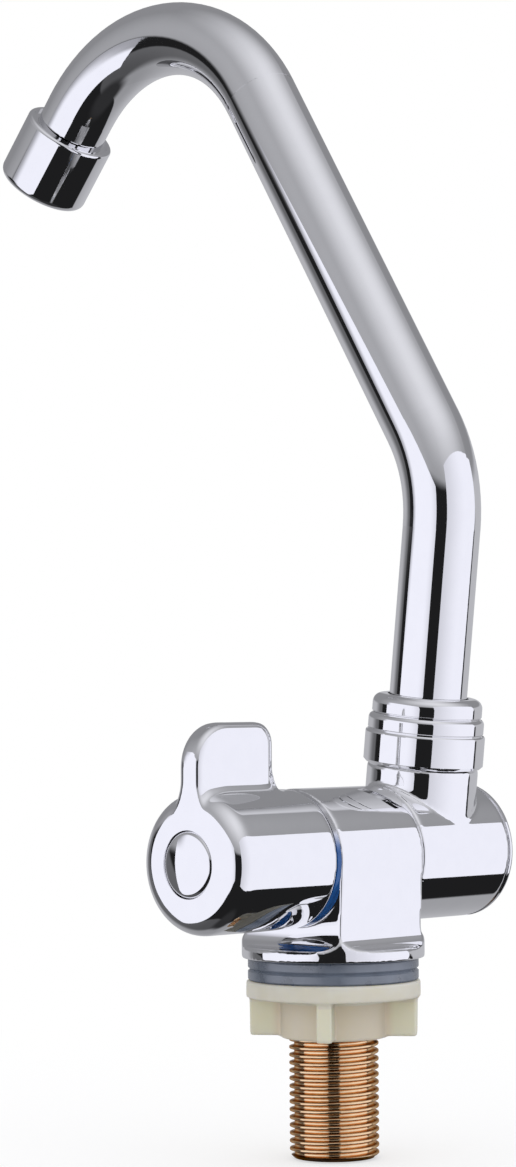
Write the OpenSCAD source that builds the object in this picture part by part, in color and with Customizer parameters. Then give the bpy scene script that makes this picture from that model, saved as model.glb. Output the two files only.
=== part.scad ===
// Folding caravan tap: a deck tap for one cold feed, with a quarter-turn knob on one end of a
// level barrel and a spout on the other end that folds flat about the barrel and swivels.
// Origin at the centre of the gasket's underside, on the worktop. +Z is up, the barrel lies
// along Y with the knob towards -Y, and the upright spout reaches towards -X.

/* [Deck fixing] */
// Outside diameter of the threaded shank, half-inch parallel pipe thread
shank_d = 20.955; // [19:0.005:22]
// Length of the shank below the worktop seat
shank_drop = 41.4; // [36:0.1:70]
// Waterway through the shank
shank_bore = 12.5; // [9:0.1:15]
// Pitch of the shank's thread
thread_pitch = 1.814; // [1:0.001:2.5]
// Depth of the shank's thread
thread_depth = 1.1; // [0.5:0.05:1.3]
// Depth of the shank's socket in the body
shank_socket = 7; // [5:0.1:9]
// Outside diameter of the base gasket
gasket_d = 40; // [36:0.1:42]
// Thickness of the base gasket
gasket_h = 5.1; // [4:0.1:7]
// Depth of the groove between the gasket's two ribs
gasket_groove = 0.5; // [0.2:0.05:1]
// Diameter of the fixing nut's flange
nut_flange_d = 40.8; // [36:0.1:44]
// Thickness of the fixing nut's flange
nut_flange_t = 4; // [3:0.1:6]
// Height of the fixing nut from its flange face to the end of its hub
nut_h = 13.5; // [11:0.1:20]
// Wall of the fixing nut's hub
nut_wall = 1.9; // [1.5:0.1:4]
// Number of wings on the fixing nut
wing_count = 4; // [2:1:6]
// Thickness of each wing
wing_t = 3.5; // [2:0.1:6]
// How far the wings stop short of the hub's end
wing_short = 0.4; // [0.2:0.1:3]
// How much a wing narrows towards its lower end
wing_taper = 0.3; // [0:0.1:2]
// Turn of the first wing from +X
wing_turn = -53.6; // [-90:0.1:90]

/* [Body] */
// Diameter of the body's foot flange
flange_d = 42.84; // [42:0.02:50]
// Height of the foot flange's rim
flange_rim = 2.9; // [2:0.1:4]
// Rounding of the rim's upper edge
flange_round = 0.7; // [0.3:0.1:1.5]
// Height of the barrel's axis above the worktop
axis_h = 28.6; // [27.5:0.1:36]
// Diameter of the barrel: knob, body and swivel
barrel_d = 32.4; // [31.6:0.1:36]
// Length of the body along the barrel
body_len = 28; // [26:0.1:30]
// Width of the pedestal at its waist, above the foot flare
waist_w = 30.8; // [28:0.1:31.5]
// Radius of the flare where the pedestal meets the flange
flare_r = 4; // [2:0.1:5]

/* [Knob] */
// Length of the knob along the barrel
knob_len = 32.3; // [29:0.1:40]
// Rounding of the knob's front edge
knob_edge = 5.5; // [1:0.1:6]
// Wall of the hollow knob
knob_wall = 2; // [1.5:0.1:2.5]
// Diameter of the recess in the knob's face
cap_d = 15; // [13:0.1:18]
// Depth of the cap's face below the knob's face
cap_depth = 2; // [1:0.1:3]
// Height of the cap
cap_t = 3.6; // [2.5:0.1:5]
// Thickness of the paddle
paddle_t = 5.2; // [3:0.1:7]
// Length of the paddle along the barrel
paddle_len = 25.6; // [16:0.1:27]
// Distance of the paddle's tip from the barrel's axis
paddle_reach = 31.8; // [27:0.1:45]
// Rounding of the paddle's front corner
paddle_front_r = 10; // [3:0.1:11]
// Rounding of the paddle's rear corner
paddle_rear_r = 5; // [1:0.1:6]
// Fillet between the paddle and the knob
paddle_root_r = 5; // [1:0.1:6]
// Rounding of the paddle's rim
paddle_edge = 1.3; // [0.4:0.1:1.4]
// Thickness of the cold index ring between knob and body
index_ring_t = 1.2; // [0.8:0.1:2]
// How far the index ring stays inside the barrel's surface
index_ring_inset = 0.3; // [0.1:0.1:1]
// Width of the index ring's band, from its rim in to the valve
index_ring_w = 3.35; // [2.5:0.05:4]

/* [Swivel] */
// Length of the swivel along the barrel, without its end cap
swivel_len = 31.2; // [30.5:0.1:36]
// Thickness of the swivel's end cap
end_cap_t = 1.5; // [1.2:0.1:4]
// Rounding of the end cap's rim
end_cap_round = 1; // [0.4:0.1:1.1]
// Diameter of the neck on the swivel
neck_d = 26.7; // [26:0.1:28]
// Bearing length from the swivel's front face to its port chamber
front_land = 10.2; // [9:0.1:11]
// Lean of the spout past upright, as it stands at rest
lean = 6.66; // [0:0.01:12]

/* [Collar] */
// Distance from the barrel's axis to the collar's lower edge
collar_start = 21.1; // [20:0.1:26]
// How far the collar stands proud of the neck
collar_proud = 1.05; // [0.5:0.05:2]
// Height of the collar's lower band
band_h = 8; // [7.5:0.1:10]
// Height of the collar's middle ring
ring_h = 4; // [3:0.1:6]
// Height of the collar's rounded top bead
bead_h = 4.6; // [4:0.1:7]
// Step from the band in to the ring
ring_step = 0.5; // [0.2:0.05:0.8]
// Step from the ring in to the bead
bead_step = 0.7; // [0.2:0.05:0.9]
// Rounding of the bead's upper edge
bead_round = 2.2; // [0.5:0.1:2.4]

/* [Spout] */
// Outside diameter of the spout tube
tube_d = 18.65; // [18:0.05:19.4]
// Wall of the spout tube
tube_wall = 1; // [0.8:0.05:1.4]
// Distance from the barrel's axis to the start of the first bend
riser = 78.1; // [60:0.1:140]
// Angle of the first bend
bend_1_angle = 38.4; // [10:0.1:60]
// Centreline radius of the first bend
bend_1_r = 38.7; // [20:0.1:80]
// Length of the straight between the bends
slope_len = 102.5; // [40:0.1:180]
// Angle of the top bend
bend_2_angle = 107.8; // [80:0.1:130]
// Centreline radius of the top bend
bend_2_r = 41.9; // [24:0.1:80]
// Straight from the top bend to the nozzle's lip
tip_len = 6.1; // [1:0.1:30]

/* [Nozzle] */
// Outside diameter of the nozzle shell
nozzle_d = 24.4; // [23.8:0.1:30]
// Length of the nozzle shell
nozzle_len = 18.6; // [17.5:0.1:26]
// Rounding of the nozzle's lower edge
nozzle_round = 2; // [0.5:0.1:2.4]
// Wall of the thin lip round the top of the nozzle
lip_t = 1.3; // [1:0.1:1.6]
// Rounding of the lip's outer edge
lip_round = 0.9; // [0.3:0.1:1]
// Depth of the lip's recess
lip_depth = 0.8; // [0.5:0.1:3]
// Depth of the tube in the nozzle, from the lip
tube_in_nozzle = 8; // [5:0.1:9]
// Pitch of the holes in the aerator's mesh
mesh_pitch = 1.9; // [1.5:0.05:3]
// Width of the wires in the aerator's mesh
mesh_wire = 0.5; // [0.3:0.05:0.7]

/* [Valve] */
// Radius of the body's valve chamber
chamber_r = 10.5; // [10:0.05:11]
// Depth of the valve chamber from the body's front face
chamber_depth = 12; // [11.5:0.1:12.5]
// Radius of the ceramic discs
disc_r = 7.5; // [7:0.05:7.7]
// Thickness of each ceramic disc
disc_t = 2.2; // [1.8:0.1:2.4]
// Diameter of the valve spindle
spindle_d = 8; // [7:0.1:9]
// Side of the spindle's square end
drive_side = 6; // [5:0.1:6.4]
// Diameter of the knob's retaining screw
screw_d = 4; // [3:0.1:4.2]

/* [Pivot] */
// Radius of the hollow pivot's bearing
journal_r = 7.5; // [7.2:0.05:7.8]
// Bore of the hollow pivot
pivot_bore = 8; // [6:0.1:9]
// Diameter of the pivot's threaded end
pivot_thread_d = 10; // [8.5:0.1:10.5]
// Across-flats size of the pivot nut
pivot_nut_af = 15; // [13:0.1:17]
// Thickness of the pivot nut
pivot_nut_t = 3.6; // [3:0.1:4]
// Diameter of the spigot on which the spout turns
spigot_d = 16.8; // [16:0.1:17]
// Bore of the spigot
spigot_bore = 12.4; // [10:0.1:12.8]

/* [Clearances] */
// Radial clearance of the turning fits
running = 0.05; // [0.02:0.01:0.1]
// Radial clearance of screwed and pushed-in fits
seated = 0.02; // [0.01:0.01:0.05]
// Gap between faces that turn on each other
face_gap = 0.05; // [0.02:0.01:0.2]
// Gap beside visible turning faces
joint_gap = 0.1; // [0.05:0.05:0.3]
// Radial clearance of loose parts round the shank
loose = 0.1; // [0.05:0.01:0.3]

/* [Hidden] */
$fn = 96;
eps = 0.01;

chrome = [0.80, 0.81, 0.83];
brass = [0.72, 0.55, 0.33];
nylon = [0.90, 0.88, 0.78];
rubber = [0.15, 0.15, 0.16];

// Deck fixing
shank_r = shank_d / 2;
wing_inset = 0.6;
nut_round = 0.5;
thread_crest = thread_pitch / 5;
thread_root = thread_pitch / 5;
flange_r = flange_d / 2;
flange_top = gasket_h + flange_rim;
shank_top = gasket_h + shank_socket;
shank_chamfer = 1.2;

// Places along the barrel, counted forward from the body's middle
barrel_r = barrel_d / 2;
body_front = body_len / 2;
body_rear = body_len / 2;
index_front = body_front + index_ring_t;
knob_rear = index_front + joint_gap;
knob_face = knob_rear + knob_len;
edge_bevel = 0.4;

// Valve, counted forward from the body's middle
seat_f = body_front - chamber_depth;
seal_t = 1.5;
seal_lap = 0.5;
housing_f = seat_f + seal_t + face_gap;
moving_f = housing_f + disc_t + face_gap;
spindle_f = moving_f + disc_t + face_gap;
spindle_foot_t = 2.6;
cavity_end = spindle_f + spindle_foot_t + face_gap;
disc_cavity_r = disc_r + running;
housing_flange_r = barrel_r - index_ring_inset - index_ring_w - running;
housing_flange_t = 2.4;
housing_relief = 1.5;
housing_land = 2;
nose_wall = 4.2;
nose_r = spindle_d / 2 + nose_wall;
nose_proud = 8;
nose_end = body_front + nose_proud;
circlip_t = 0.8;
circlip_w = 2.2;
circlip_groove = 0.8;
circlip_f = nose_end + joint_gap;
circlip_land = 0.6;
drive_f = circlip_f + circlip_t + circlip_land;
drive_len = 9.5;
drive_end = drive_f + drive_len;
dog_w = 3;
dog_h = 0.9;
port_margin = 1.6;
port_hub = 1.4;
port_inset_angle = 10;
port_r = disc_r - port_margin;

// Knob
cup_floor = knob_face - cap_depth - cap_t;
cup_wall = 2.5;
screw_head_h = 2.5;
screw_head_w = 1.5;
screw_head_round = 1;
screw_head_r = screw_d / 2 + screw_head_w;
screw_seat = cup_floor - screw_head_h - joint_gap;
hub_wall = 2;
hub_r = drive_side / sqrt(2) + hub_wall;
hub_gap = 0.4;
hub_f = drive_f + hub_gap;
screw_floor = 1;
hub_end = screw_seat - screw_floor;
knob_cavity_r = barrel_r - knob_wall;
knob_front_wall = 3;
cap_wall = 1.2;
cap_round = 0.4;
paddle_rear = knob_face - paddle_len;
paddle_mid = knob_face - paddle_len / 2;
screw_len = hub_end - drive_f;

// Water passages in the body
plenum_r = 5;
plenum_rear = 2.5;
riser_r = 4.5;
transfer_r = 2;
transfer_wall = 1.3;
transfer_offset = plenum_r + transfer_r + transfer_wall;
pocket_r = transfer_offset - transfer_r / 2;
plenum_wall = 2.5;
pocket_y = plenum_rear + plenum_wall;
pocket_t = 1;
stem_thread_h = 1;
stem_thread_r = journal_r + stem_thread_h;
stem_y = pocket_y + pocket_t;

// Pivot, counted back from the body's middle
washer_recess = 1.2;
washer_w = 3.4;
washer_r = stem_thread_r + washer_w;
swivel_gap = 0.3;
swivel_y = body_rear + swivel_gap;
swivel_end = swivel_y + swivel_len;
swivel_wall = 3.8;
recess_r = barrel_r - swivel_wall;
thrust_t = 1.1;
spring_t = 0.8;
spring_rise = 0.6;
thrust_gap = 0.6;
spring_gap = 1.4;
thread_past_nut = 0.5;
end_room = 1.35;
stem_end = swivel_end - end_room;
nut_y = stem_end - thread_past_nut - pivot_nut_t;
spring_y = nut_y - spring_t - spring_rise;
thrust_y = spring_y - thrust_t;
stack_y = thrust_y - face_gap;
journal_short = 0.2;
journal_end = stack_y - journal_short;
rear_land = 3;
port_chamber_front = swivel_y + front_land;
port_chamber_rear = stack_y - rear_land;
port_chamber_gap = 2.6;
port_chamber_r = journal_r + port_chamber_gap;
neck_y = (port_chamber_front + port_chamber_rear) / 2;
cap_y = swivel_end + face_gap;
plug_depth = 2;
plug_wall = 1.4;
cross_port_r = 2.6;

// O-rings: wire radius and the width of their grooves
pivot_wire = 0.75;
spigot_wire = 0.85;
spindle_wire = 0.55;
groove_slack = 0.03;
groove_room = 0.4;

// Neck joint, counted along the neck from the barrel's axis
neck_r = neck_d / 2;
tube_r = tube_d / 2;
tube_ri = tube_r - tube_wall;
spigot_r = spigot_d / 2;
nipple_step = 1.15;
nipple_r = neck_r - nipple_step;
nipple_len = 6;
nipple_top = collar_start + nipple_len;
spout_washer_t = 1;
shoulder_t = nipple_top + spout_washer_t + face_gap;
shoulder_h = 2.4;
shoulder_w = 1.55;
shoulder_r = tube_r + shoulder_w;
tube_foot = shoulder_t + shoulder_h;
bush_t = tube_foot + face_gap;
collar_top = collar_start + band_h + ring_h + bead_h;
ledge_h = 3.6;
ledge_t = collar_top - ledge_h;
ledge_step = 0.5;
collar_bore = nipple_r - ledge_step;
collar_mouth = 0.45;
spigot_seat = 0.8;
spigot_foot_gap = 0.2;
spigot_foot = recess_r + spigot_seat + spigot_foot_gap;
neck_port_r = 4;
spigot_sleeve = 8;
neck_groove_h = 0.5;
neck_groove = 0.4;

// Nozzle, counted along the spout's end from the lip
nozzle_r = nozzle_d / 2;
shell_wall = 1.7;
insert_r = nozzle_r - shell_wall;
washer_t = 1.5;
washer_lap = 1;
insert_t = tube_in_nozzle + washer_t;
mesh_t = 0.4;
mesh_inset = 0.6;
insert_inset = 0.7;
insert_end = nozzle_len - insert_inset;
insert_wall = 1.6;
mesh_r = insert_r - insert_wall;

// Swelling of the tube's wall in its bends, and the lap of the straights into them
bend_swell = 0.02;
bend_lap = 0.5;

// Straight and bend pairs of the spout, from the spigot's shoulder to the nozzle's lip
spout_run = [
    [riser - tube_foot, bend_1_angle, bend_1_r],
    [slope_len, bend_2_angle, bend_2_r],
    [tip_len, 0, 0]
];

// Places its children on the barrel's axis, their +Z pointing forward to the knob
module forward(f) {
    translate([0, -f, axis_h]) rotate([90, 0, 0]) children();
}

// Places its children on the barrel's axis, their +Z pointing back to the swivel
module rearward(y) {
    translate([0, y, axis_h]) rotate([-90, 0, 0]) children();
}

// Places its children on the neck's axis, their +Z pointing along the spout's riser
module along_neck(t) {
    translate([0, neck_y, axis_h]) rotate([0, lean, 0]) translate([0, 0, t]) children();
}

// Carries its children to the end of one bend that turns from +Z towards -X
module after_bend(angle, radius) {
    translate([-radius, 0, 0]) rotate([0, -angle, 0]) translate([radius, 0, 0]) children();
}

// Carries its children along the whole spout to the nozzle's lip
module at_spout_end(step = 0) {
    if (step < len(spout_run))
        translate([0, 0, spout_run[step][0]])
            after_bend(spout_run[step][1], spout_run[step][2])
                at_spout_end(step + 1) children();
    else
        children();
}

module at_nozzle() {
    along_neck(tube_foot) at_spout_end() children();
}

// Hollow tube along the spout's run, with its last straight lengthened by end_extra.
// Each straight laps into the bends beside it, whose wall swells a little on both sides.
module spout_pipe(r_out, r_in, end_extra, step = 0) {
    first = step == 0;
    last = step == len(spout_run) - 1;
    straight = spout_run[step][0];
    angle = spout_run[step][1];
    radius = spout_run[step][2];
    low = first ? 0 : -bend_lap;
    high = straight + (last ? end_extra : bend_lap);
    translate([0, 0, low]) ring(r_out, r_in, high - low);
    if (!last) translate([0, 0, straight]) {
        translate([-radius, 0, 0]) rotate([90, 0, 0])
            rotate_extrude(angle = angle) translate([radius, 0]) difference() {
                circle(r_out + bend_swell);
                circle(r_in - bend_swell);
            }
        after_bend(angle, radius) spout_pipe(r_out, r_in, end_extra, step + 1);
    }
}

// Plain ring standing on its lower face
module ring(r_out, r_in, h) {
    difference() {
        cylinder(r = r_out, h = h);
        translate([0, 0, -eps]) cylinder(r = r_in, h = h + 2 * eps);
    }
}

module o_ring(inner_r, wire) {
    rotate_extrude() translate([inner_r + wire, 0]) circle(wire);
}

// Ring groove that holds an O-ring of the given wire at height z
module o_ring_groove(outer_r, wire, z) {
    width = 2 * wire + groove_room;
    translate([0, 0, z - width / 2]) ring(outer_r + 1, outer_r - 2 * wire - groove_slack, width);
}

// Outline bit taken off to round a corner at the origin whose material lies in -x, -y
module corner_cut(r) {
    translate([-r, -r]) difference() {
        square(r + eps);
        circle(r);
    }
}

// Outline bit that fills a right-angled inside corner at the origin with a fillet in +x, +y
module corner_fill(r) {
    difference() {
        translate([-eps, -eps]) square(r + eps);
        translate([r, r]) circle(r);
    }
}

// Solid of revolution with its outer upper edge rounded
module rounded_post(r, h, edge) {
    rotate_extrude() difference() {
        square([r, h]);
        translate([r, h]) corner_cut(edge);
    }
}

// Deck fixing

// Outline bit between two crests of the thread, at the origin on the shank's surface
module thread_groove() {
    half = (thread_pitch - thread_crest) / 2;
    polygon([
        [eps, -half], [eps, half], [0, half],
        [-thread_depth, thread_root / 2], [-thread_depth, -thread_root / 2], [0, -half]
    ]);
}

// Shank whose thread is drawn as rings, one for each turn, up to the deck
module threaded_shank() {
    length = shank_drop + shank_top;
    turns = floor((shank_drop - shank_chamfer) / thread_pitch);
    color(brass) translate([0, 0, -shank_drop]) rotate_extrude() difference() {
        translate([shank_bore / 2, 0]) square([shank_r - shank_bore / 2, length]);
        translate([shank_r, 0]) rotate(45) square(shank_chamfer * sqrt(2), center = true);
        for (i = [0 : turns - 1])
            translate([shank_r, shank_chamfer + (i + 0.5) * thread_pitch]) thread_groove();
    }
}

module base_gasket() {
    gasket_r = gasket_d / 2;
    rib = gasket_h / 2;
    color([0.50, 0.57, 0.64, 0.85]) rotate_extrude() difference() {
        translate([shank_r + loose, 0]) square([gasket_r - shank_r - loose, gasket_h]);
        translate([gasket_r, rib]) rotate(45) square(gasket_groove * sqrt(2), center = true);
        translate([gasket_r, gasket_h]) corner_cut(gasket_groove);
        translate([gasket_r, 0]) mirror([0, 1]) corner_cut(gasket_groove);
    }
}

module nut_wing() {
    reach = nut_flange_d / 2 - wing_inset;
    foot = nut_h - wing_short;
    rotate([90, 0, 0]) linear_extrude(wing_t, center = true)
        polygon([[0, 0], [reach, 0], [reach - wing_taper, -foot], [0, -foot]]);
}

module fixing_nut() {
    hub_out = shank_r + nut_wall;
    color(nylon) translate([0, 0, -face_gap]) difference() {
        union() {
            translate([0, 0, -nut_flange_t]) rounded_post(nut_flange_d / 2, nut_flange_t, nut_round);
            translate([0, 0, -nut_h]) cylinder(r = hub_out, h = nut_h);
            for (i = [0 : wing_count - 1])
                rotate(wing_turn + 360 / wing_count * i) nut_wing();
        }
        translate([0, 0, -nut_h - 1]) cylinder(r = shank_r + loose, h = nut_h + 2);
    }
}

// Body

module pedestal_front_outline() {
    waist_x = waist_w / 2;
    flare_top = flange_top + flare_r;
    translate([0, axis_h]) circle(barrel_r);
    polygon([
        [-waist_x, flange_top], [waist_x, flange_top], [waist_x, flare_top],
        [barrel_r, axis_h], [-barrel_r, axis_h], [-waist_x, flare_top]
    ]);
    for (side = [0, 1]) mirror([side, 0])
        translate([waist_x, flange_top]) corner_fill(flare_r);
}

module pedestal_side_outline() {
    translate([-body_rear, flange_top]) square([body_len, axis_h + barrel_r]);
    for (side = [0, 1]) mirror([side, 0])
        translate([body_rear, flange_top]) corner_fill(flare_r);
}

// Arched block whose four faces flare out into the round flange
module pedestal() {
    intersection() {
        rotate([90, 0, 0]) linear_extrude(2 * flange_d, center = true) pedestal_front_outline();
        rotate([90, 0, 90]) linear_extrude(2 * flange_d, center = true) pedestal_side_outline();
        cylinder(r = flange_r, h = axis_h + barrel_d);
    }
}

module body_waterways() {
    translate([0, 0, gasket_h - 1]) cylinder(r = shank_r + seated, h = shank_socket + 1);
    translate([0, 0, shank_top - eps]) cylinder(r = riser_r, h = axis_h - shank_top);
    forward(seat_f) cylinder(r = chamber_r, h = chamber_depth + 1);
    forward(-plenum_rear) cylinder(r = plenum_r, h = plenum_rear + seat_f + eps);
    translate([0, 0, transfer_offset]) forward(-pocket_y - pocket_t / 2)
        cylinder(r = transfer_r, h = pocket_y + pocket_t / 2 + seat_f + eps);
    rearward(pocket_y) cylinder(r = pocket_r, h = body_rear);
    rearward(stem_y) cylinder(r = stem_thread_r + seated, h = body_rear);
    rearward(body_rear - washer_recess) cylinder(r = washer_r + running, h = body_rear);
}

module tap_body() {
    color(chrome) difference() {
        union() {
            translate([0, 0, gasket_h]) rounded_post(flange_r, flange_rim, flange_round);
            pedestal();
        }
        body_waterways();
    }
}

// Valve

module seat_seal() {
    color(rubber) forward(seat_f) ring(disc_r + seal_lap, plenum_r - seal_lap, seal_t);
}

module valve_housing() {
    window_w = disc_r;
    window_l = disc_t;
    color(brass) forward(housing_f) difference() {
        union() {
            cylinder(r = chamber_r - housing_relief, h = nose_end - housing_f);
            translate([0, 0, cavity_end - housing_f - housing_land])
                cylinder(r = chamber_r - seated, h = body_front - cavity_end + housing_land);
            translate([0, 0, body_front - housing_f])
                cylinder(r = housing_flange_r, h = housing_flange_t);
        }
        translate([0, 0, -1]) cylinder(r = disc_cavity_r, h = cavity_end - housing_f + 1);
        translate([0, 0, -1]) cylinder(r = spindle_d / 2 + running, h = nose_end - housing_f + 2);
        translate([0, 0, body_front + housing_flange_t - housing_f])
            ring(chamber_r, nose_r, nose_end);
        translate([-2 * chamber_r, -window_w / 2, moving_f - housing_f])
            cube([4 * chamber_r, window_w, window_l]);
    }
}

// Two opposed quarter openings in a ceramic disc
module disc_ports(h) {
    for (turn = [0, 180]) rotate(turn) intersection() {
        ring(port_r, port_hub, h);
        rotate(port_inset_angle) cube([disc_r, disc_r, h]);
        rotate(-port_inset_angle) cube([disc_r, disc_r, h]);
    }
}

module fixed_disc() {
    color("whitesmoke") forward(housing_f) difference() {
        cylinder(r = disc_r, h = disc_t);
        translate([0, 0, -eps]) disc_ports(disc_t + 2 * eps);
    }
}

module moving_disc() {
    color("whitesmoke") forward(moving_f) difference() {
        cylinder(r = disc_r, h = disc_t);
        translate([0, 0, -eps]) rotate(90) disc_ports(disc_t + 2 * eps);
        translate([-disc_r, -dog_w / 2 - running, disc_t - dog_h - running])
            cube([2 * disc_r, dog_w + 2 * running, dog_h + 1]);
    }
}

module valve_spindle() {
    spindle_r = spindle_d / 2;
    o_ring_f = (cavity_end + nose_end) / 2;
    color(brass) forward(spindle_f) difference() {
        union() {
            cylinder(r = disc_r - running, h = spindle_foot_t);
            intersection() {
                cylinder(r = disc_r - running, h = 2 * spindle_foot_t, center = true);
                translate([-disc_r, -dog_w / 2, -dog_h - face_gap])
                    cube([2 * disc_r, dog_w, dog_h + spindle_foot_t]);
            }
            cylinder(r = spindle_r, h = drive_f - spindle_f);
            intersection() {
                cylinder(r = spindle_r, h = drive_end - spindle_f);
                translate([-drive_side / 2, -drive_side / 2, 0])
                    cube([drive_side, drive_side, drive_end - spindle_f]);
            }
        }
        o_ring_groove(spindle_r, spindle_wire, o_ring_f - spindle_f);
        translate([0, 0, circlip_f - spindle_f])
            ring(disc_r, spindle_r - circlip_groove, circlip_t);
        translate([0, 0, drive_f - spindle_f])
            cylinder(r = screw_d / 2 + seated, h = drive_len + 1);
    }
}

module spindle_o_ring() {
    o_ring_f = (cavity_end + nose_end) / 2;
    color(rubber) forward(o_ring_f) o_ring(spindle_d / 2 - 2 * spindle_wire, spindle_wire);
}

// Open spring clip in the spindle's groove
module spindle_circlip() {
    clip_r = spindle_d / 2 + circlip_w;
    color("silver") forward(circlip_f) difference() {
        ring(clip_r, spindle_d / 2 - circlip_groove + seated, circlip_t);
        translate([0, -dog_w / 2, -1]) cube([2 * clip_r, dog_w, circlip_t + 2]);
    }
}

module index_ring() {
    color([0.10, 0.32, 0.72]) forward(body_front)
        ring(barrel_r - index_ring_inset, housing_flange_r + running, index_ring_t);
}

// Knob

// Section through the paddle's rim, w wide, with both outer corners rounded
module paddle_rim(w) {
    half = paddle_t / 2;
    difference() {
        translate([0, -half]) square([w, paddle_t]);
        for (side = [0, 1]) mirror([0, side]) translate([w, half]) corner_cut(paddle_edge);
    }
}

// Upright run of the rim, from the axis to height h
module paddle_upright(w, h) {
    rotate([-90, 0, 0]) linear_extrude(h) paddle_rim(w);
}

module paddle_corner(r) {
    rotate_extrude(angle = 90) paddle_rim(r);
}

// Paddle lying on its side: x forward, y up from the axis, z across
module paddle_plate() {
    front_x = knob_face - paddle_front_r;
    front_y = paddle_reach - paddle_front_r;
    rear_x = paddle_rear + paddle_rear_r;
    rear_y = paddle_reach - paddle_rear_r;
    translate([paddle_mid - eps, 0, 0]) paddle_upright(knob_face - paddle_mid + eps, front_y);
    translate([paddle_mid + eps, 0, 0]) mirror([1, 0, 0])
        paddle_upright(paddle_mid - paddle_rear + eps, rear_y);
    translate([rear_x, front_y - eps, 0]) rotate([90, 0, 90])
        linear_extrude(front_x - rear_x) paddle_rim(paddle_front_r + eps);
    translate([front_x, front_y, 0]) paddle_corner(paddle_front_r);
    translate([rear_x, rear_y, 0]) rotate(90) paddle_corner(paddle_rear_r);
}

// Paddle's root seen from the front, with fillets onto the round knob
module paddle_root_outline() {
    fillet_x = paddle_t / 2 + paddle_root_r;
    fillet_z = sqrt(pow(barrel_r + paddle_root_r, 2) - pow(fillet_x, 2));
    difference() {
        polygon([[0, 0], [fillet_x, fillet_z], [-fillet_x, fillet_z]]);
        for (side = [0, 1]) mirror([side, 0])
            translate([fillet_x, fillet_z]) circle(paddle_root_r);
    }
}

// Root of the paddle, tapered away where the knob's front edge falls off
module paddle_root() {
    face_r = barrel_r - knob_edge;
    intersection() {
        forward(paddle_rear) linear_extrude(paddle_len) paddle_root_outline();
        forward(paddle_rear) cylinder(r1 = face_r + paddle_len, r2 = face_r, h = paddle_len);
    }
}

module paddle() {
    translate([0, 0, axis_h]) rotate([90, 0, -90]) paddle_plate();
    paddle_root();
}

module knob_outline() {
    difference() {
        translate([0, knob_rear]) square([barrel_r, knob_len]);
        translate([barrel_r, knob_face]) corner_cut(knob_edge);
        translate([barrel_r, knob_rear]) rotate(45) square(edge_bevel * sqrt(2), center = true);
    }
}

// Space between the knob's shell, its hub and the cup that holds the cap
module knob_cavity() {
    cup_r = cap_d / 2 + cup_wall;
    difference() {
        forward(knob_rear - 1) cylinder(r = knob_cavity_r, h = knob_len + 1 - knob_front_wall);
        forward(hub_f) cylinder(r = hub_r, h = knob_len);
        forward(hub_end) cylinder(r = cup_r, h = knob_len);
    }
}

module control_knob() {
    color(chrome) difference() {
        union() {
            forward(0) rotate_extrude() knob_outline();
            paddle();
        }
        knob_cavity();
        forward(cup_floor) cylinder(r = cap_d / 2, h = knob_len);
        forward(screw_seat) cylinder(r = screw_head_r + joint_gap, h = cup_floor - screw_seat + eps);
        forward(hub_f - 1) cylinder(r = screw_d / 2 + joint_gap, h = screw_seat);
        forward(hub_f - 1) translate([-drive_side / 2 - running, -drive_side / 2 - running, 0])
            cube([drive_side + 2 * running, drive_side + 2 * running, drive_end - hub_f + 1 + running]);
    }
}

module knob_screw() {
    color("silver") forward(screw_seat) {
        rounded_post(screw_head_r, screw_head_h, screw_head_round);
        translate([0, 0, eps - screw_len]) cylinder(r = screw_d / 2, h = screw_len);
    }
}

// Flat cap with a hollow skirt
module knob_cap() {
    cap_r = cap_d / 2 - seated;
    color(chrome) forward(cup_floor) difference() {
        rounded_post(cap_r, cap_t, cap_round);
        translate([0, 0, -cap_wall]) cylinder(r = cap_r - cap_wall, h = cap_t);
    }
}

// Pivot

module pivot_stem() {
    color(brass) difference() {
        union() {
            rearward(stem_y) cylinder(r = stem_thread_r, h = body_rear - stem_y);
            rearward(stem_y) cylinder(r = journal_r, h = journal_end - stem_y);
            rearward(stem_y) cylinder(r = pivot_thread_d / 2, h = stem_end - stem_y);
        }
        rearward(stem_y - 1) cylinder(r = pivot_bore / 2, h = neck_y + cross_port_r + 1 - stem_y);
        for (turn = [0, 90]) translate([0, neck_y, axis_h]) rotate([0, turn, 0])
            cylinder(r = cross_port_r, h = 4 * journal_r, center = true);
        for (y = pivot_ring_places()) rearward(0) o_ring_groove(journal_r, pivot_wire, y);
    }
}

// One ring in front of the port chamber and one behind it
function pivot_ring_places() = [
    (swivel_y + port_chamber_front) / 2,
    (port_chamber_rear + journal_end) / 2
];

module pivot_o_rings() {
    color(rubber) for (y = pivot_ring_places())
        rearward(y) o_ring(journal_r - 2 * pivot_wire, pivot_wire);
}

module friction_washer() {
    color(nylon) rearward(body_rear - washer_recess)
        ring(washer_r, stem_thread_r + seated, washer_recess + swivel_y - body_rear - face_gap);
}

module thrust_washer() {
    color("silver") rearward(thrust_y) ring(recess_r - thrust_gap, pivot_thread_d / 2 + seated, thrust_t);
}

// Cone-shaped spring washer under the pivot nut
module disc_spring() {
    inner = pivot_thread_d / 2 + seated;
    outer = recess_r - spring_gap;
    color("dimgray") rearward(spring_y) rotate_extrude() polygon([
        [outer, 0], [outer, spring_t], [inner, spring_t + spring_rise], [inner, spring_rise]
    ]);
}

module pivot_nut() {
    color(brass) rearward(nut_y) difference() {
        cylinder(d = pivot_nut_af / cos(30), h = pivot_nut_t, $fn = 6);
        translate([0, 0, -1]) cylinder(r = pivot_thread_d / 2 + seated, h = pivot_nut_t + 2);
    }
}

// Swivel

module swivel_barrel() {
    rearward(swivel_y) rotate_extrude() difference() {
        square([barrel_r, swivel_len]);
        for (z = [0, swivel_len])
            translate([barrel_r, z]) rotate(45) square(edge_bevel * sqrt(2), center = true);
    }
}

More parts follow.
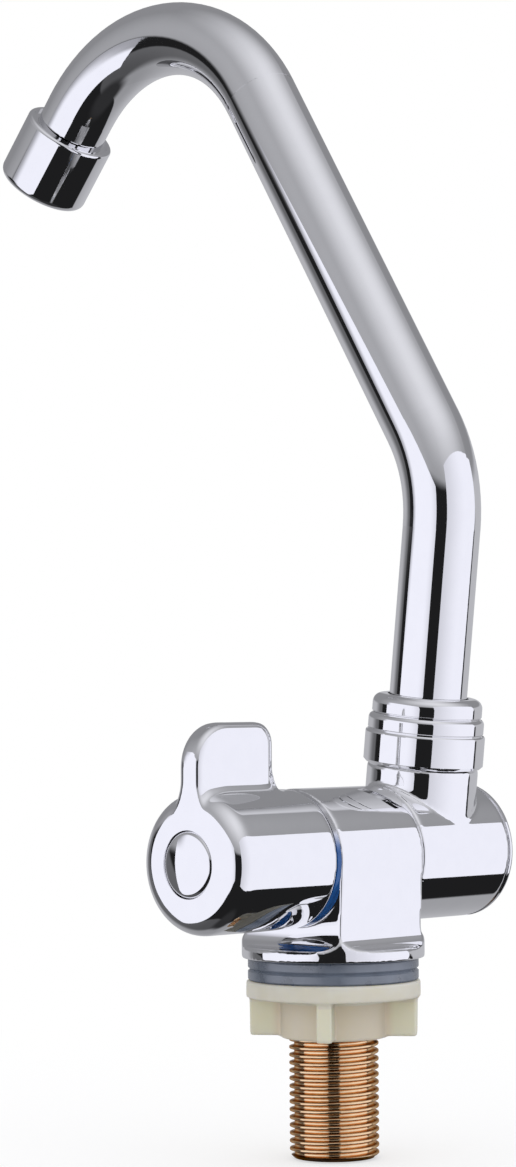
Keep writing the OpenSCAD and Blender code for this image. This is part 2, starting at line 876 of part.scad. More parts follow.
module swivel_body() {
    color(chrome) difference() {
        union() {
            swivel_barrel();
            along_neck(0) cylinder(r = neck_r, h = collar_start - neck_groove_h);
            along_neck(0) cylinder(r = neck_r - neck_groove, h = collar_start);
            along_neck(0) cylinder(r = nipple_r, h = nipple_top);
        }
        rearward(swivel_y - 1) cylinder(r = journal_r + running, h = swivel_len + 2);
        rearward(port_chamber_front)
            cylinder(r = port_chamber_r, h = port_chamber_rear - port_chamber_front);
        rearward(stack_y) cylinder(r = recess_r, h = swivel_len);
        along_neck(0) cylinder(r = neck_port_r, h = spigot_foot);
        along_neck(spigot_foot - spigot_foot_gap) cylinder(r = spigot_r + running, h = nipple_top);
    }
}

module swivel_end_cap() {
    color(chrome) rearward(cap_y) {
        rounded_post(barrel_r, end_cap_t, end_cap_round);
        translate([0, 0, -plug_depth])
            ring(recess_r - seated, recess_r - plug_wall, plug_depth + eps);
    }
}

// Half section of the collar nut: band, ring and bead outside, thread, seat and ledge inside
module collar_outline() {
    band_r = neck_r + collar_proud;
    ring_r = band_r - ring_step;
    bead_r = ring_r - bead_step;
    ring_z = band_h;
    bead_z = band_h + ring_h;
    top_z = collar_top - collar_start;
    bevel = 0.7;
    line = 0.4;
    difference() {
        union() {
            square([band_r, band_h]);
            translate([0, ring_z]) square([ring_r, ring_h]);
            translate([0, bead_z]) square([bead_r, bead_h]);
        }
        translate([band_r, 0]) rotate(45) square(bevel * sqrt(2), center = true);
        translate([band_r, band_h]) corner_cut(bevel);
        translate([ring_r, ring_z]) rotate(45) square(line * sqrt(2), center = true);
        translate([ring_r, bead_z]) corner_cut(2 * bevel);
        translate([bead_r, bead_z]) rotate(45) square(line * sqrt(2), center = true);
        translate([bead_r, top_z]) corner_cut(bead_round);
        translate([0, -1]) square([nipple_r + seated, nipple_top - collar_start + 1 + spout_washer_t]);
        square([collar_bore, ledge_t - collar_start]);
        square([tube_r + collar_mouth, top_z + 1]);
    }
}

module collar_nut() {
    color(chrome) along_neck(collar_start) rotate_extrude() collar_outline();
}

module spout_washer() {
    color("white") along_neck(nipple_top) ring(collar_bore - joint_gap, spigot_r + 4 * running, spout_washer_t);
}

module spout_bush() {
    color(nylon) along_neck(bush_t)
        ring(collar_bore - seated, tube_r + running, ledge_t - bush_t);
}

// Spout

function spigot_ring_places() = [
    spigot_foot + (nipple_top - spigot_foot) / 4,
    spigot_foot + (nipple_top - spigot_foot) / 4 * 3
];

module spout_spigot() {
    color(brass) difference() {
        union() {
            along_neck(spigot_foot) cylinder(r = spigot_r, h = shoulder_t - spigot_foot + eps);
            along_neck(shoulder_t) cylinder(r = shoulder_r, h = shoulder_h);
            along_neck(shoulder_t) cylinder(r = tube_ri - seated, h = shoulder_h + spigot_sleeve);
        }
        along_neck(spigot_foot - 1)
            cylinder(d = spigot_bore, h = tube_foot + spigot_sleeve - spigot_foot + 2);
        for (t = spigot_ring_places()) along_neck(0) o_ring_groove(spigot_r, spigot_wire, t);
    }
}

module spout_o_rings() {
    color(rubber) for (t = spigot_ring_places())
        along_neck(t) o_ring(spigot_r - 2 * spigot_wire, spigot_wire);
}

module spout_tube() {
    color(chrome) along_neck(tube_foot) spout_pipe(tube_r, tube_ri, tube_in_nozzle);
}

// Nozzle

module nozzle_shell() {
    step_in = insert_r + joint_gap;
    color(chrome) at_nozzle() rotate_extrude() difference() {
        square([nozzle_r, nozzle_len]);
        translate([nozzle_r, nozzle_len]) corner_cut(nozzle_round);
        translate([nozzle_r, 0]) mirror([0, 1]) corner_cut(lip_round);
        translate([0, -1]) square([nozzle_r - lip_t, lip_depth + 1]);
        square([tube_r + seated, nozzle_len + 1]);
        translate([0, tube_in_nozzle]) square([step_in, nozzle_len]);
    }
}

module aerator_washer() {
    color(rubber) at_nozzle() translate([0, 0, tube_in_nozzle])
        ring(insert_r, tube_ri - washer_lap, washer_t);
}

// Cup of the aerator: a wall, three rings and the spokes that carry them
module aerator_insert() {
    spokes = 6;
    spoke_w = 0.8;
    floor_t = 1.6;
    ring_w = 0.8;
    ring_pitch = mesh_r / 3.5;
    color("dimgray") at_nozzle() translate([0, 0, insert_t]) {
        ring(insert_r, mesh_r, insert_end - insert_t);
        linear_extrude(floor_t) {
            circle(ring_pitch / 2);
            for (i = [1 : 3]) difference() {
                circle(ring_pitch * i);
                circle(ring_pitch * i - ring_w);
            }
            for (i = [0 : spokes - 1]) rotate(360 / spokes * i)
                translate([0, -spoke_w / 2]) square([mesh_r + eps, spoke_w]);
        }
    }
}

module aerator_mesh() {
    half_count = floor(mesh_r / mesh_pitch);
    hole = mesh_pitch - mesh_wire;
    color("silver") at_nozzle() translate([0, 0, insert_end - mesh_t - mesh_inset])
        linear_extrude(mesh_t) difference() {
            circle(mesh_r - seated);
            for (i = [-half_count : half_count], j = [-half_count : half_count])
                if (norm([i, j]) * mesh_pitch < mesh_r - mesh_pitch)
                    translate([i * mesh_pitch, j * mesh_pitch]) square(hole, center = true);
        }
}

threaded_shank();
tap_body();
base_gasket();
fixing_nut();
seat_seal();
valve_housing();
fixed_disc();
moving_disc();
valve_spindle();
spindle_o_ring();
spindle_circlip();
index_ring();
control_knob();
knob_screw();
knob_cap();
pivot_stem();
pivot_o_rings();
friction_washer();
thrust_washer();
disc_spring();
pivot_nut();
swivel_body();
swivel_end_cap();
collar_nut();
spout_washer();
spout_bush();
spout_spigot();
spout_o_rings();
spout_tube();
nozzle_shell();
aerator_washer();
aerator_insert();
aerator_mesh();
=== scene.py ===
import math

import bpy
from mathutils import Matrix, Vector


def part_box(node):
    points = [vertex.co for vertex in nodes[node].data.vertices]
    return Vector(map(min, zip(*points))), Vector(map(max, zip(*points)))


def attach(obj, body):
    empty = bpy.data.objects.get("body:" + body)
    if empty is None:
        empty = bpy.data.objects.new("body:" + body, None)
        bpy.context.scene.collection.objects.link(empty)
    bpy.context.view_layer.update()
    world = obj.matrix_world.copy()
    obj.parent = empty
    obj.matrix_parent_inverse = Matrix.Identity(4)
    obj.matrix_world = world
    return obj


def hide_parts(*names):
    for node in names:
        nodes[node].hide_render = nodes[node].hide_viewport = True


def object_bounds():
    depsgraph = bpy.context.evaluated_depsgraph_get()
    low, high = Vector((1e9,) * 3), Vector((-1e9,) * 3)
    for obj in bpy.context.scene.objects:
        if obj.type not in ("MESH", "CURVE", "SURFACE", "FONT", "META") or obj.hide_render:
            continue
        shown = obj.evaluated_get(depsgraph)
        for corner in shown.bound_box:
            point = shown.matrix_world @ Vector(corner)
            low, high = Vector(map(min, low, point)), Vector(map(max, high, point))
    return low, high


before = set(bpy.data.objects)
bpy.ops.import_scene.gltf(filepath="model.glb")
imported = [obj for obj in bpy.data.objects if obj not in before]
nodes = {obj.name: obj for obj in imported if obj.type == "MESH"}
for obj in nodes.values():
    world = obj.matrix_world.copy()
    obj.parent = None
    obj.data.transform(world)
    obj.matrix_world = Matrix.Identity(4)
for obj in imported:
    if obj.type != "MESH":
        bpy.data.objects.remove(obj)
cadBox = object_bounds()
scene = bpy.context.scene
print("frame loaded:", len(nodes), "nodes")


# Camera level with the top of the collar nut, looking slightly up
cameraSetup = {
    "spot": (0.51580, -0.55314, 0.06699),  # metres, in the deck frame
    "azimuth": 44.29,
    "elevation": -1.95,
    "roll": -0.38,
    "lens": 99.23,
    "sensor": 36.0,
}


def placeCamera():
    turn = math.radians(cameraSetup["azimuth"])
    lift = math.radians(cameraSetup["elevation"])
    roll = math.radians(cameraSetup["roll"])
    back = Vector((math.sin(turn) * math.cos(lift), -math.cos(turn) * math.cos(lift), math.sin(lift)))
    level = Vector((math.cos(turn), math.sin(turn), 0.0))
    upright = back.cross(level)
    right = level * math.cos(roll) + upright * math.sin(roll)
    up = back.cross(right)
    axes = Matrix((right, up, back)).transposed()
    lens = bpy.data.cameras.new("tapCamera")
    lens.lens = cameraSetup["lens"]
    lens.sensor_width = cameraSetup["sensor"]
    camera = bpy.data.objects.new("tapCamera", lens)
    camera.matrix_world = Matrix.Translation(cameraSetup["spot"]) @ axes.to_4x4()
    scene.collection.objects.link(camera)
    scene.camera = camera


placeCamera()
scene.view_settings.view_transform = "Standard"
print("camera placed")


# Short forms for shader nodes
plainWhite = (1.0, 1.0, 1.0, 1.0)


def addNode(tree, kind, inputs=None, **settings):
    made = tree.nodes.new(kind)
    for name, value in settings.items():
        setattr(made, name, value)
    for name, value in (inputs or {}).items():
        socket = made.inputs[name]
        if isinstance(value, bpy.types.NodeSocket):
            tree.links.new(value, socket)
        else:
            socket.default_value = value
    return made


def mathNode(tree, operation, first, second=0.0, third=0.0):
    return addNode(tree, "ShaderNodeMath", {0: first, 1: second, 2: third}, operation=operation).outputs[0]


def vectorNode(tree, operation, first, second=(0.0, 0.0, 0.0)):
    return addNode(tree, "ShaderNodeVectorMath", {0: first, 1: second}, operation=operation).outputs


def rampNode(tree, value, start, end, low=0.0, high=1.0):
    made = addNode(
        tree,
        "ShaderNodeMapRange",
        {"Value": value, "From Min": start, "From Max": end, "To Min": low, "To Max": high},
        interpolation_type="SMOOTHSTEP",
    )
    return made.outputs["Result"]


def mixValue(tree, factor, first, second):
    made = addNode(tree, "ShaderNodeMix", {0: factor, 2: first, 3: second}, data_type="FLOAT")
    return made.outputs[0]


def mixColour(tree, share, first, second):
    made = addNode(tree, "ShaderNodeMix", {0: share, 6: first, 7: second}, data_type="RGBA")
    return made.outputs[2]


def mixShader(tree, share, first, second):
    return addNode(tree, "ShaderNodeMixShader", {0: share, 1: first, 2: second}).outputs[0]


def lightNode(tree, kind, colour, strength):
    return addNode(tree, kind, {"Color": colour, "Strength": strength}).outputs[0]


def objectPlace(tree):
    return addNode(tree, "ShaderNodeTexCoord").outputs["Object"]


def objectHeight(tree):
    return addNode(tree, "ShaderNodeSeparateXYZ", {0: objectPlace(tree)}).outputs["Z"]


def axisDistance(tree):
    flat = vectorNode(tree, "MULTIPLY", objectPlace(tree), (1.0, 1.0, 0.0))["Vector"]
    return vectorNode(tree, "LENGTH", flat)["Value"]


def newMaterial(name):
    material = bpy.data.materials.new(name)
    material.use_nodes = True
    return material, material.node_tree


# Studio: dark in front, a grey sweep behind and a soft ceiling. Bearings are degrees from the camera
studio = {
    "cameraBearing": -45.7,  # from +X to the camera
    "darkLeft": (-113.0, -108.0),  # where the dark front ends, at eye level
    "darkRight": (110.0, 114.0),
    "darkLean": (0.85, 0.50),  # how far these ends turn for each degree below eye level
    "sweepLeft": (0.14, 0.50),
    "sweepLeftEdge": (-142.0, -116.0),
    "sweepRight": 0.53,
    "sweepFall": (-58.0, -4.0),  # the sweep darkens from eye level down to the table
    "sweepLow": 0.62,
    "front": 0.014,
    "ceilingEdge": (10.0, 16.0),  # elevation where the ceiling starts
    "ceilingDip": (-60.0, -30.0, 7.0),  # left of these bearings it starts this many degrees lower
    "ceiling": 0.28,
    "glows": (  # bright places on the ceiling: bearing, elevation, cosine at their end, power, gain
        (37.0, 60.0, 0.45, 1.6, 0.53),
        (-62.0, 20.0, 0.50, 1.2, 0.16),
    ),
    "tableEdge": (-76.0, -62.0),
    "table": 0.03,
    "tint": (0.94, 0.945, 1.0, 1.0),
    "fill": 0.82,  # what soft surfaces receive from the whole room
}


def makeStudio():
    world = bpy.data.worlds.new("studio")
    world.use_nodes = True
    scene.world = world
    tree = world.node_tree
    tree.nodes.clear()
    turned = addNode(
        tree,
        "ShaderNodeVectorRotate",
        {
            "Vector": addNode(tree, "ShaderNodeTexCoord").outputs["Generated"],
            "Angle": -math.radians(studio["cameraBearing"]),
        },
        rotation_type="Z_AXIS",
    ).outputs[0]
    parts = addNode(tree, "ShaderNodeSeparateXYZ", {0: turned}).outputs
    bearing = mathNode(tree, "ARCTAN2", parts["Y"], parts["X"])
    lift = mathNode(tree, "ARCSINE", parts["Z"])

    def step(value, edges, low=0.0, high=1.0):
        start, end = (math.radians(edge) for edge in edges)
        return rampNode(tree, value, start, end, low, high)

    def leaning(share):
        return mathNode(tree, "MULTIPLY_ADD", lift, share, bearing)

    leftLean, rightLean = studio["darkLean"]
    inLeft = step(leaning(leftLean), studio["darkLeft"])
    inRight = step(leaning(rightLean), studio["darkRight"], 1.0, 0.0)
    leftSweep = step(bearing, studio["sweepLeftEdge"], *reversed(studio["sweepLeft"]))
    sweep = mixValue(tree, mathNode(tree, "GREATER_THAN", bearing, 0.0), leftSweep, studio["sweepRight"])
    sweep = mathNode(tree, "MULTIPLY", sweep, step(lift, studio["sweepFall"], studio["sweepLow"], 1.0))
    level = mixValue(tree, mathNode(tree, "MULTIPLY", inLeft, inRight), sweep, studio["front"])
    ceiling = studio["ceiling"]
    for turn, rise, reach, power, gain in studio["glows"]:
        turn, rise = math.radians(turn), math.radians(rise)
        middle = (math.cos(rise) * math.cos(turn), math.cos(rise) * math.sin(turn), math.sin(rise))
        near = vectorNode(tree, "DOT_PRODUCT", turned, middle)["Value"]
        share = addNode(tree, "ShaderNodeMapRange", {"Value": near, "From Min": reach}).outputs[0]
        ceiling = mathNode(tree, "MULTIPLY_ADD", mathNode(tree, "POWER", share, power), gain, ceiling)
    start, end, dip = studio["ceilingDip"]
    raised = mathNode(tree, "ADD", lift, step(bearing, (start, end), math.radians(dip), 0.0))
    level = mixValue(tree, step(raised, studio["ceilingEdge"]), level, ceiling)
    level = mixValue(tree, step(lift, studio["tableEdge"], 1.0, 0.0), level, studio["table"])
    paths = addNode(tree, "ShaderNodeLightPath").outputs
    shine = lightNode(tree, "ShaderNodeBackground", studio["tint"], level)
    fill = lightNode(tree, "ShaderNodeBackground", plainWhite, studio["fill"])
    white = lightNode(tree, "ShaderNodeBackground", plainWhite, 1.0)
    lit = mixShader(tree, paths["Is Glossy Ray"], fill, shine)
    addNode(tree, "ShaderNodeOutputWorld", {"Surface": mixShader(tree, paths["Is Camera Ray"], lit, white)})


makeStudio()
print("studio made")


# White cards on either side of the camera, which the chrome mirrors as its bright bands
cards = {
    "leftCard": {
        "bearing": -75.0, "distance": 0.476, "sides": (-0.192, 0.700), "heights": (-0.225, 0.276),
        "fade": (0.1, 0.5), "glow": (1.04, 0.84),
        "worn": ((-0.5, -0.37), (0.10, 0.26), 0.40),  # its dim upper corner: across, upward, glow
    },
    "rightCard": {
        "bearing": 56.5, "distance": 0.450, "sides": (-0.442, 0.608), "heights": (-0.311, 0.385),
        "fade": (-0.5, 0.05), "glow": (0.76, 1.02),
    },
}
cardCentre = Vector((0.006, 0.022, 0.0))
cardTint = (0.90, 0.905, 1.0, 1.0)


def makeCard(name, card):
    bpy.ops.object.select_all(action="DESELECT")
    bearing = math.radians(studio["cameraBearing"] + card["bearing"])
    outward = Vector((math.cos(bearing), math.sin(bearing), 0.0))
    along = Vector((-math.sin(bearing), math.cos(bearing), 0.0))
    left, right = card["sides"]
    low, high = card["heights"]
    middle = cardCentre + outward * card["distance"] + along * ((left + right) / 2)
    middle.z = (low + high) / 2
    bpy.ops.mesh.primitive_plane_add(size=1.0, location=middle)
    plane = bpy.context.object
    plane.name = name
    plane.scale = (right - left, high - low, 1.0)
    plane.rotation_euler = (math.radians(90), 0.0, bearing + math.radians(90))
    material, tree = newMaterial(name)
    tree.nodes.clear()
    place = addNode(tree, "ShaderNodeSeparateXYZ", {0: objectPlace(tree)}).outputs
    strength = rampNode(tree, place["X"], *card["fade"], *card["glow"])
    if "worn" in card:
        across, upward, dim = card["worn"]
        leftPart = rampNode(tree, place["X"], *across, 1.0, 0.0)
        corner = mathNode(tree, "MULTIPLY", leftPart, rampNode(tree, place["Y"], *upward))
        strength = mixValue(tree, corner, strength, dim)
    glow = lightNode(tree, "ShaderNodeEmission", cardTint, strength)
    addNode(tree, "ShaderNodeOutputMaterial", {"Surface": glow})
    plane.data.materials.append(material)
    plane.visible_camera = False
    plane.visible_shadow = False


for cardName, card in cards.items():
    makeCard(cardName, card)


# Pale floor just under the end of the shank, fading to white
floorSetup = {"radius": 2.5, "corners": 96, "gap": 0.0003, "fade": (0.10, 0.30), "albedo": 0.5, "lift": 0.58}


def makeFloor():
    bpy.ops.object.select_all(action="DESELECT")
    bpy.ops.mesh.primitive_circle_add(
        vertices=floorSetup["corners"], radius=floorSetup["radius"], fill_type="NGON",
        location=(0, 0, cadBox[0].z - floorSetup["gap"]),
    )
    floor = bpy.context.object
    floor.name = "floor"
    material, tree = newMaterial("paleFloor")
    tree.nodes.clear()
    far = rampNode(tree, axisDistance(tree), *floorSetup["fade"])
    grey = floorSetup["albedo"]
    matte = addNode(tree, "ShaderNodeBsdfDiffuse", {"Color": (grey, grey, grey, 1.0)}).outputs[0]
    lift = lightNode(tree, "ShaderNodeEmission", plainWhite, floorSetup["lift"])
    white = lightNode(tree, "ShaderNodeEmission", plainWhite, 1.0)
    near = addNode(tree, "ShaderNodeAddShader", {0: matte, 1: lift}).outputs[0]
    seen = mixShader(tree, far, near, white)
    byCamera = addNode(tree, "ShaderNodeLightPath").outputs["Is Camera Ray"]
    addNode(tree, "ShaderNodeOutputMaterial", {"Surface": mixShader(tree, byCamera, matte, seen)})
    floor.data.materials.append(material)
    floor.visible_glossy = False


makeFloor()
print("cards and floor made")


def newGroup(name, inputs, outputs):
    group = bpy.data.node_groups.new(name, "ShaderNodeTree")
    for label, value in inputs.items():
        socket = group.interface.new_socket(label, in_out="INPUT", socket_type="NodeSocketFloat")
        socket.default_value = value
    for label in outputs:
        group.interface.new_socket(label, in_out="OUTPUT", socket_type="NodeSocketFloat")
    return group, addNode(group, "NodeGroupInput").outputs, addNode(group, "NodeGroupOutput").inputs


def noiseNode(tree, place, scale, setup):
    made = addNode(
        tree, "ShaderNodeTexNoise",
        {"Vector": place, "Scale": scale, "Detail": setup["detail"], "Roughness": setup["rough"]},
    )
    return made.outputs["Fac"]


# Cloudy variation: a share for colours, a roughness between low and high, and a height for bump
cloudSetup = {"detail": 3.0, "rough": 0.55, "spread": (0.3, 0.7)}
grainSetup = {"detail": 2.0, "rough": 0.5, "inRoughness": 0.35, "inHeight": 0.5}


def makeCloudGroup():
    group, given, put = newGroup(
        "surfaceCloud",
        {"Cloud Scale": 300.0, "Grain Scale": 2500.0, "Low": 0.2, "High": 0.3},
        ("Share", "Roughness", "Height"),
    )
    place = objectPlace(group)
    cloud = noiseNode(group, place, given["Cloud Scale"], cloudSetup)
    grain = noiseNode(group, place, given["Grain Scale"], grainSetup)
    share = rampNode(group, cloud, *cloudSetup["spread"])
    both = mixValue(group, grainSetup["inRoughness"], share, grain)
    group.links.new(share, put["Share"])
    group.links.new(mixValue(group, both, given["Low"], given["High"]), put["Roughness"])
    group.links.new(mixValue(group, grainSetup["inHeight"], cloud, grain), put["Height"])
    return group


# Fine rings left by a cutting tool, square to the shank's axis
ringSetup = {"detail": 2.0, "rough": 0.6, "spread": (0.35, 0.65), "stretch": (0.02, 0.02, 1.0), "share": 0.35}


def makeToolGroup():
    group, given, put = newGroup("toolRings", {"Ring Scale": 6000.0}, ("Share", "Height"))
    place = vectorNode(group, "MULTIPLY", objectPlace(group), ringSetup["stretch"])["Vector"]
    rings = noiseNode(group, place, given["Ring Scale"], ringSetup)
    group.links.new(rampNode(group, rings, *ringSetup["spread"]), put["Share"])
    group.links.new(rings, put["Height"])
    return group


cloudGroup = makeCloudGroup()
toolGroup = makeToolGroup()

# Finishes, one look for each material slot of the frame. Colours are linear, lengths are metres
looks = {
    "chrome": {
        "dark": (0.914, 0.914, 0.925), "light": (0.926, 0.926, 0.936), "metallic": 1.0,
        "roughness": (0.02, 0.036), "scales": (260.0, 900.0), "bump": 0.0000015,
    },
    "raw_brass": {
        "dark": (0.93, 0.62, 0.36), "light": (1.0, 0.75, 0.47), "metallic": 1.0,
        "roughness": (0.07, 0.15), "scales": (420.0, 3000.0), "bump": 0.00001, "tooled": 0.000012,
        "grazing": (0.62, 0.42, 0.27),
    },
    "turned_brass": {
        "dark": (0.70, 0.52, 0.25), "light": (0.84, 0.66, 0.36), "metallic": 1.0,
        "roughness": (0.2, 0.36), "scales": (500.0, 3500.0), "bump": 0.000008, "tooled": 0.00001,
    },
    "nylon": {
        "dark": (0.90, 0.85, 0.69), "light": (0.96, 0.92, 0.79), "metallic": 0.0,
        "roughness": (0.34, 0.5), "scales": (90.0, 2200.0), "bump": 0.00003, "soft": 0.35,
    },
    "acetal": {
        "dark": (0.78, 0.78, 0.75), "light": (0.86, 0.86, 0.84), "metallic": 0.0,
        "roughness": (0.3, 0.45), "scales": (140.0, 2400.0), "bump": 0.00002,
    },
    "grey_plastic": {
        "dark": (0.20, 0.20, 0.21), "light": (0.30, 0.30, 0.31), "metallic": 0.0,
        "roughness": (0.35, 0.5), "scales": (200.0, 2600.0), "bump": 0.00003,
    },
    "gasket_rubber": {
        "dark": (0.125, 0.15, 0.19), "light": (0.19, 0.225, 0.285), "metallic": 0.0,
        "roughness": (0.22, 0.36), "scales": (160.0, 2800.0), "bump": 0.00004, "index": 2.0,
    },
    "black_rubber": {
        "dark": (0.018, 0.018, 0.019), "light": (0.035, 0.035, 0.036), "metallic": 0.0,
        "roughness": (0.45, 0.65), "scales": (300.0, 4000.0), "bump": 0.00003,
    },
    "ceramic": {
        "dark": (0.80, 0.80, 0.78), "light": (0.88, 0.88, 0.86), "metallic": 0.0,
        "roughness": (0.18, 0.3), "scales": (200.0, 3000.0), "bump": 0.00001,
    },
    "steel": {
        "dark": (0.50, 0.50, 0.52), "light": (0.64, 0.64, 0.66), "metallic": 1.0,
        "roughness": (0.2, 0.35), "scales": (350.0, 3000.0), "bump": 0.00001,
    },
    "blue_plastic": {
        "dark": (0.020, 0.110, 0.36), "light": (0.035, 0.165, 0.49), "metallic": 0.0,
        "roughness": (0.12, 0.22), "scales": (180.0, 2600.0), "bump": 0.00001,
    },
}
usualIndex = 1.5
softRadius = (0.003, 0.0026, 0.0016)  # how far red, green and blue light spread in a soft material


def makeFinish(name, look):
    material, tree = newMaterial(name)
    inputs = tree.nodes["Principled BSDF"].inputs
    cloudScale, grainScale = look["scales"]
    low, high = look["roughness"]
    cloud = addNode(
        tree, "ShaderNodeGroup",
        {"Cloud Scale": cloudScale, "Grain Scale": grainScale, "Low": low, "High": high},
        node_tree=cloudGroup,
    ).outputs
    share = cloud["Share"]
    bump = addNode(tree, "ShaderNodeBump", {"Height": cloud["Height"], "Distance": look["bump"]})
    if "tooled" in look:
        rings = addNode(tree, "ShaderNodeGroup", node_tree=toolGroup).outputs
        share = mixValue(tree, ringSetup["share"], share, rings["Share"])
        bump = addNode(
            tree, "ShaderNodeBump",
            {"Height": rings["Height"], "Distance": look["tooled"], "Normal": bump.outputs[0]},
        )
    colour = mixColour(tree, share, (*look["dark"], 1.0), (*look["light"], 1.0))
    tree.links.new(colour, inputs["Base Color"])
    tree.links.new(cloud["Roughness"], inputs["Roughness"])
    tree.links.new(bump.outputs[0], inputs["Normal"])
    inputs["Metallic"].default_value = look["metallic"]
    inputs["IOR"].default_value = look.get("index", usualIndex)
    if "grazing" in look:
        inputs["Specular Tint"].default_value = (*look["grazing"], 1.0)
    if "soft" in look:
        inputs["Subsurface Weight"].default_value = look["soft"]
        inputs["Subsurface Radius"].default_value = softRadius
        inputs["Subsurface Scale"].default_value = 1.0
    return material


finishes = {slot: makeFinish(slot + "Finish", look) for slot, look in looks.items()}


# The tree of a finish, its shader's inputs and the colour that reaches them
def openFinish(slot):
    tree = finishes[slot].node_tree
    inputs = tree.nodes["Principled BSDF"].inputs
    return tree, inputs, inputs["Base Color"].links[0].from_socket


# Nylon nut, below its flange: a painted glow on its thin wings, painted shade on its thick hub, and painted
# shade where the chrome mirrors it
nutPaintedLight = {
    "wing": (1.0, 0.96, 0.72, 1.0), "hub": (0.92, 0.79, 0.60, 1.0), "wingStart": (0.0125, 0.0150),
    "flange": 0.0050, "flangeBlend": 0.0004, "share": 0.75, "paintedReflectionShade": (0.16, 0.155, 0.13, 1.0),
}


def paintNutLight():
    tree, inputs, plain = openFinish("nylon")
    # Painted light: the thin wings get a lighter glow colour and the thick hub a darker shade colour
    wingGlowShare = rampNode(tree, axisDistance(tree), *nutPaintedLight["wingStart"])
    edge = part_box("fixing_nut")[1].z - nutPaintedLight["flange"]
    paintedLightShare = rampNode(tree, objectHeight(tree), edge - nutPaintedLight["flangeBlend"], edge, nutPaintedLight["share"], 0.0)
    colour = mixColour(tree, paintedLightShare, plain, mixColour(tree, wingGlowShare, nutPaintedLight["hub"], nutPaintedLight["wing"]))
    # Painted shade in reflections: glossy rays see the nut in a dark colour, so the chrome mirrors it dark
    paintedReflectionShade = addNode(tree, "ShaderNodeLightPath").outputs["Is Glossy Ray"]
    tree.links.new(mixColour(tree, paintedReflectionShade, colour, nutPaintedLight["paintedReflectionShade"]), inputs["Base Color"])


# Brass thread: painted shade on its flanks, painted shade at its lower end, and the plain brass colour on its
# crests and roots
threadPaintedShade = {
    "colour": (0.36, 0.24, 0.16, 1.0), "root": (0.00960, 0.00985), "crest": (0.00995, 0.01020),  # radii
    "dark": (0.09, 0.06, 0.045, 1.0), "end": (0.0008, 0.0012),  # heights above the shank's end
}


def paintThreadShade():
    tree, inputs, plain = openFinish("raw_brass")
    away = axisDistance(tree)
    # Painted shade on the flanks, between the root and crest radii
    flankShaded = mixColour(tree, rampNode(tree, away, *threadPaintedShade["root"]), plain, threadPaintedShade["colour"])
    colour = mixColour(tree, rampNode(tree, away, *threadPaintedShade["crest"]), flankShaded, plain)
    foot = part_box("threaded_shank")[0].z
    # Painted shade on the chamfered lower end, standing in for a dark reflection
    paintedLightShare = rampNode(tree, objectHeight(tree), *(foot + rise for rise in threadPaintedShade["end"]), 1.0, 0.0)
    tree.links.new(mixColour(tree, paintedLightShare, colour, threadPaintedShade["dark"]), inputs["Base Color"])


# Index ring: a painted highlight on top, pale and metallic, and blue below and at the sides
indexRingHighlight = {"fade": (0.0305, 0.0365), "paintedHighlight": (0.80, 0.80, 0.82, 1.0)}  # heights above the deck


def paintIndexRingHighlight():
    tree, inputs, blue = openFinish("blue_plastic")
    # Painted highlight: the upper part of the ring is painted pale and made metallic
    highlightShare = rampNode(tree, objectHeight(tree), *indexRingHighlight["fade"])
    tree.links.new(mixColour(tree, highlightShare, blue, indexRingHighlight["paintedHighlight"]), inputs["Base Color"])
    tree.links.new(highlightShare, inputs["Metallic"])


paintNutLight()
paintThreadShade()
paintIndexRingHighlight()
for node in nodes.values():
    for slot in node.material_slots:
        slot.material = finishes[slot.material.name.split(".")[0]]
print("finishes made:", len(finishes))


# Steps that the pieces share
mergeDistance = 1e-6
nearPlane = 1e-5  # how close to a plane a corner counts as on it
smoothShare = 0.5
turnSteps = 160
cylinderSides = 192


def finishPiece(piece, name, body, slot, *replaced):
    piece.name = name
    piece.data.name = name
    piece.data.materials.clear()
    piece.data.materials.append(finishes[slot])
    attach(piece, body)
    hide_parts(*replaced)


def activate(piece, *others):
    bpy.ops.object.select_all(action="DESELECT")
    for other in (piece, *others):
        other.select_set(True)
    bpy.context.view_layer.objects.active = piece


def editAll():
    bpy.ops.object.mode_set(mode="EDIT")
    bpy.ops.mesh.select_all(action="SELECT")


def faceOutward():
    bpy.ops.mesh.select_all(action="SELECT")
    bpy.ops.mesh.normals_make_consistent(inside=False)
    bpy.ops.object.mode_set(mode="OBJECT")


def applyModifier(piece, kind, **settings):
    made = piece.modifiers.new(kind.lower(), kind)
    for label, value in settings.items():
        setattr(made, label, value)
    bpy.ops.object.modifier_apply(modifier=made.name)


def carve(piece, operation, tool, solver):
    activate(piece)
    applyModifier(piece, "BOOLEAN", operation=operation, object=tool, solver=solver)
    bpy.data.objects.remove(tool)


def joinInto(piece, *others):
    activate(piece, *others)
    bpy.ops.object.join()


def shadeByAngle(degrees):
    bpy.ops.object.shade_smooth_by_angle(angle=math.radians(degrees))


def copyNode(name, nodeName):
    piece = bpy.data.objects.new(name, nodes[nodeName].data.copy())
    scene.collection.objects.link(piece)
    activate(piece)
    editAll()
    bpy.ops.mesh.remove_doubles(threshold=mergeDistance)
    bpy.ops.object.mode_set(mode="OBJECT")
    return piece


def soften(piece, setup):
    applyModifier(piece, "REMESH", mode="VOXEL", voxel_size=setup["voxel"])
    applyModifier(piece, "SMOOTH", factor=smoothShare, iterations=setup["rounds"])


# Bevels the edges whose two ends are both chosen
def bevelChosen(piece, chosen, offset, segments):
    bpy.ops.object.mode_set(mode="EDIT")
    bpy.ops.mesh.select_all(action="DESELECT")
    bpy.ops.object.mode_set(mode="OBJECT")
    for edge in piece.data.edges:
        edge.select = all(chosen(piece.data.vertices[end].co) for end in edge.vertices)
    bpy.ops.object.mode_set(mode="EDIT")
    bpy.ops.mesh.bevel(offset=offset, segments=segments)
    bpy.ops.object.mode_set(mode="OBJECT")


